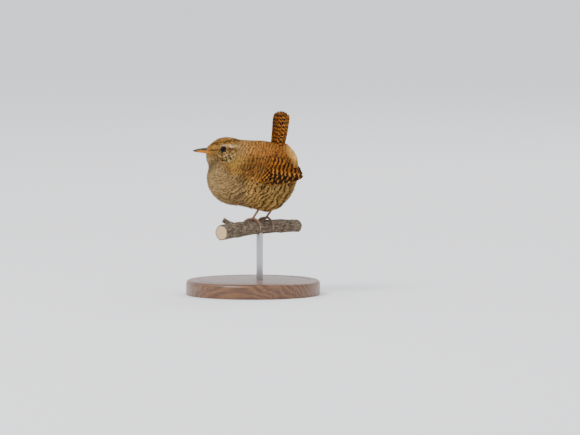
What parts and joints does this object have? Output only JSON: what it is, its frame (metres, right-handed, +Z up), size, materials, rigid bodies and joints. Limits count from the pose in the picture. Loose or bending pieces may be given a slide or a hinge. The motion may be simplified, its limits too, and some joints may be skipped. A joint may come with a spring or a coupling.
{
  "type": "wren on a perch",
  "caption": "Life-size still wren with a cocked tail and folded wings, gripping a short cut branch on a round wooden display stand.",
  "frame": {"origin": "centre of the round base's underside", "axes": "+Z up, the bird faces -X with its left side toward -Y, +Y is its right side"},
  "size_m": [0.09, 0.09, 0.1235],
  "materials": {
    "plumage_back": "soft warm brown feathers with faint dark bars",
    "plumage_breast": "soft buff-brown feathers, finely barred on the flanks",
    "wing_feathers": "rufous flight feathers with dark bars and pale buff outer spots",
    "tail_feathers": "rufous tail feathers with narrow dark bars",
    "bill": "dark horn with a dull sheen",
    "bill_lower": "orange-yellow horn, darker at the tip",
    "eye": "wet black-brown eye",
    "legs": "scaled pinkish-brown skin",
    "bark": "rough grey-brown bark with pale cut ends",
    "base_wood": "turned and waxed dark wood",
    "rod_steel": "fine brushed steel"
  },
  "bodies": {
    "root": {"head": "plumage_back", "neck": "plumage_breast", "torso": "plumage_breast", "bill_upper": "bill", "bill_lower": "bill_lower", "eye_left": "eye", "eye_right": "eye", "wing_left": "wing_feathers", "wing_right": "wing_feathers", "tail": "tail_feathers", "leg_left": "legs", "leg_right": "legs", "foot_left": "legs", "foot_right": "legs", "perch": "bark", "stand_base": "base_wood", "stand_rod": "rod_steel"}
  },
  "joints": []
}
